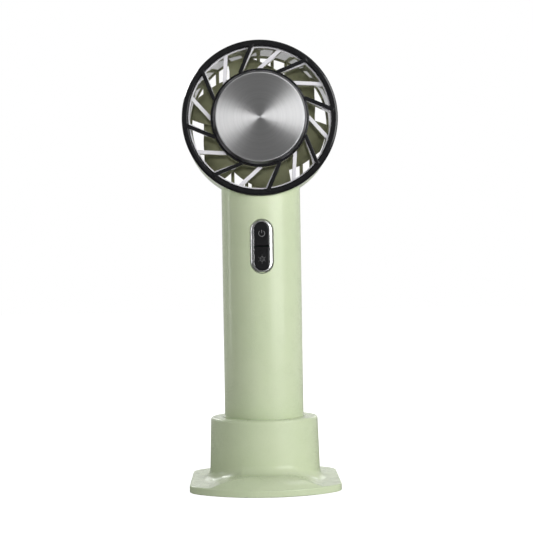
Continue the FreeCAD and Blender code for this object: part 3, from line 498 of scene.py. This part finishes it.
def key_vertex(bm, point, side, key_r):
    """Vertex over a key's round face: proud of it for side 1, sunk in it for side -1."""
    face = -math.sqrt(key_r ** 2 - point.x ** 2)
    return bm.verts.new((point.x, face - side * STROKE_RISE, point.z))


def tube(bm, rings):
    """Join rings of vertices into a closed solid."""
    count = len(rings[0])
    for a, b in zip(rings, rings[1:]):
        for i in range(count):
            j = (i + 1) % count
            bm.faces.new((a[i], a[j], b[j], b[i]))
    bm.faces.new(rings[0][::-1])
    bm.faces.new(rings[-1])


def ribbon(bm, points, width, key_r):
    """Raised stroke through points, wrapped on the round face of a key of radius key_r."""
    rings = []
    for i, p in enumerate(points):
        before = points[max(i - 1, 0)]
        after = points[min(i + 1, len(points) - 1)]
        along = (after - before).normalized()
        across = Vector((-along.z, 0, along.x)) * (width / 2)
        corners = ((1, p + across), (1, p - across), (-1, p - across), (-1, p + across))
        rings.append([key_vertex(bm, q, side, key_r) for side, q in corners])
    tube(bm, rings)


def dot(bm, centre, r, key_r):
    """Small raised round spot."""
    outline = [polar(centre, r, i * 360 / DOT_SIDES) for i in range(DOT_SIDES)]
    tube(bm, [[key_vertex(bm, q, side, key_r) for q in outline] for side in (-1, 1)])


def add_symbol(name, bm, ink, body):
    """Turn a symbol's strokes into a piece that moves with its key."""
    bmesh.ops.recalc_face_normals(bm, faces=bm.faces)
    piece = mesh_object(name, bm, ink)
    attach(piece, body)


def power_symbol(ink):
    """Broken circle with an upright stroke in the gap."""
    centre, _, key_r = symbol_places()
    bm = bmesh.new()
    turns = range(RING_GAP, 360 - RING_GAP + 1, RING_STEP)
    ribbon(bm, [polar(centre, SYMBOL_R, UP + turn) for turn in turns], STROKE, key_r)
    ribbon(bm, [centre + Vector((0, 0, SYMBOL_R * stop)) for stop in UPRIGHT_STOPS], STROKE, key_r)
    add_symbol("power_symbol", bm, ink, "power_key")


def snowflake_symbol(ink):
    """Six arms, each with a pair of short twigs and a dot beyond its tip."""
    _, centre, key_r = symbol_places()
    bm = bmesh.new()
    for arm in range(ARMS):
        angle = UP + 360 / ARMS * arm
        ribbon(bm, [polar(centre, SYMBOL_R * stop, angle) for stop in ARM_STOPS], THIN_STROKE, key_r)
        dot(bm, polar(centre, SYMBOL_R * DOT_AT, angle), DOT_R, key_r)
        fork = polar(centre, SYMBOL_R * FORK_AT, angle)
        for turn in (-TWIG_TURN, TWIG_TURN):
            tip = polar(fork, SYMBOL_R * TWIG_REACH, angle + turn)
            ribbon(bm, [fork.lerp(tip, stop) for stop in TWIG_STOPS], TWIG_STROKE, key_r)
    add_symbol("snowflake_symbol", bm, ink, "cooling_key")


# ---- studio ----
def camera():
    """Long lens from the front; sets the scene's camera."""
    data = bpy.data.cameras.new("camera")
    data.lens = LENS
    data.sensor_width = SENSOR
    data.clip_start = NEAR_CLIP
    eye = add_object("camera", data)
    look = (LOOK_AT - CAMERA_AT).to_track_quat("-Z", "Y").to_matrix().to_4x4()
    turned = look @ Matrix.Rotation(-CAMERA_ROLL, 4, "Z")
    turned.translation = CAMERA_AT
    eye.matrix_world = turned
    bpy.context.scene.camera = eye


def softbox(name, azimuth, elevation, distance, size, power, mirrored=True):
    """Rectangular light; a mirrored one shows in reflections."""
    data = bpy.data.lights.new(name, "AREA")
    data.shape = "RECTANGLE"
    data.size, data.size_y = size
    data.energy = power
    lamp = add_object(name, data)
    a, e = math.radians(azimuth), math.radians(elevation)
    away = Vector((math.sin(a) * math.cos(e), -math.cos(a) * math.cos(e), math.sin(e)))
    lamp.location = LIT_POINT + away * distance
    lamp.rotation_euler = (-away).to_track_quat("-Z", "Y").to_euler()
    lamp.visible_camera = False
    lamp.visible_glossy = mirrored


def snoot():
    """Narrow beam from the front, straight into the air passage of the head."""
    data = bpy.data.lights.new("head_fill", "SPOT")
    data.energy = SNOOT_POWER
    data.spot_size = math.radians(SNOOT_CONE)
    data.spot_blend = SNOOT_BLEND
    data.shadow_soft_size = SNOOT_BULB
    lamp = add_object("head_fill", data)
    lamp.location = head_centre() + Vector((0, -SNOOT_DISTANCE, 0))
    lamp.rotation_euler = (math.radians(90), 0, 0)
    lamp.visible_camera = False
    lamp.visible_glossy = False


def surroundings():
    """White backdrop for the camera; dimmer walls, brightest behind, for light and reflections."""
    world = bpy.data.worlds.new("studio")
    bpy.context.scene.world = world
    world.use_nodes = True
    world.node_tree.nodes.clear()
    coords = add_node(world, "ShaderNodeTexCoord")
    axes = add_node(world, "ShaderNodeSeparateXYZ")
    link(world, coords.outputs["Generated"], axes.inputs["Vector"])
    brightness = (WALL_FRONT, WALL_BEHIND)
    strength = ramp(world, axes.outputs["Y"], WALL_SPAN, to=brightness, curve="SMOOTHSTEP")
    walls = add_node(world, "ShaderNodeBackground", Color=(1, 1, 1, 1))
    link(world, strength, walls.inputs["Strength"])
    backdrop = add_node(world, "ShaderNodeBackground", Color=(1, 1, 1, 1), Strength=1.0)
    out = add_node(world, "ShaderNodeOutputWorld")
    shader = by_ray(world, backdrop.outputs["Background"], walls.outputs["Background"])
    link(world, shader, out.inputs["Surface"])


def table_for_camera(material, shader):
    """Matt grey lifted to white."""
    set_inputs(shader, {"Base Color": (*TABLE_SEEN, 1), "Roughness": 0.9, "Specular IOR Level": 0.0})
    glow = add_node(material, "ShaderNodeEmission", Strength=TABLE_SEEN_GLOW)
    return add_shaders(material, shader.outputs["BSDF"], glow.outputs["Emission"])


def table_for_others(material):
    """Pale, almost black in reflections, and glowing behind the object."""
    path = add_node(material, "ShaderNodeLightPath")
    matt = add_node(material, "ShaderNodeBsdfDiffuse")
    grey = mix_colour(material, path.outputs["Is Glossy Ray"], TABLE_LIT, TABLE_MIRRORED)
    link(material, grey, matt.inputs["Color"])
    spot = add_node(material, "ShaderNodeNewGeometry")
    axes = add_node(material, "ShaderNodeSeparateXYZ")
    link(material, spot.outputs["Position"], axes.inputs["Vector"])
    glow = add_node(material, "ShaderNodeEmission")
    strength = ramp(material, axes.outputs["Y"], TABLE_BEHIND_SPAN, to=(0, TABLE_BEHIND))
    link(material, strength, glow.inputs["Strength"])
    return add_shaders(material, matt.outputs["BSDF"], glow.outputs["Emission"])


def floor():
    """Plain white table, bright to the camera and dimmer to the object."""
    material, shader = new_material("table")
    surface = by_ray(material, table_for_camera(material, shader), table_for_others(material))
    link(material, surface, material.node_tree.nodes["Material Output"].inputs["Surface"])
    bm = bmesh.new()
    corners = ((-1, -1), (1, -1), (1, 1), (-1, 1))
    bm.faces.new([bm.verts.new((x * FLOOR_REACH, y * FLOOR_REACH, 0)) for x, y in corners])
    mesh_object("floor", bm, material)


dress_cad_nodes()
ink = symbol_ink()
power_symbol(ink)
snowflake_symbol(ink)
camera()
surroundings()
floor()
for lamp_name, lamp_settings in SOFTBOXES.items():
    softbox(lamp_name, **lamp_settings)
snoot()
bpy.context.scene.view_settings.view_transform = "Standard"
bpy.context.scene.cycles.use_denoising = True
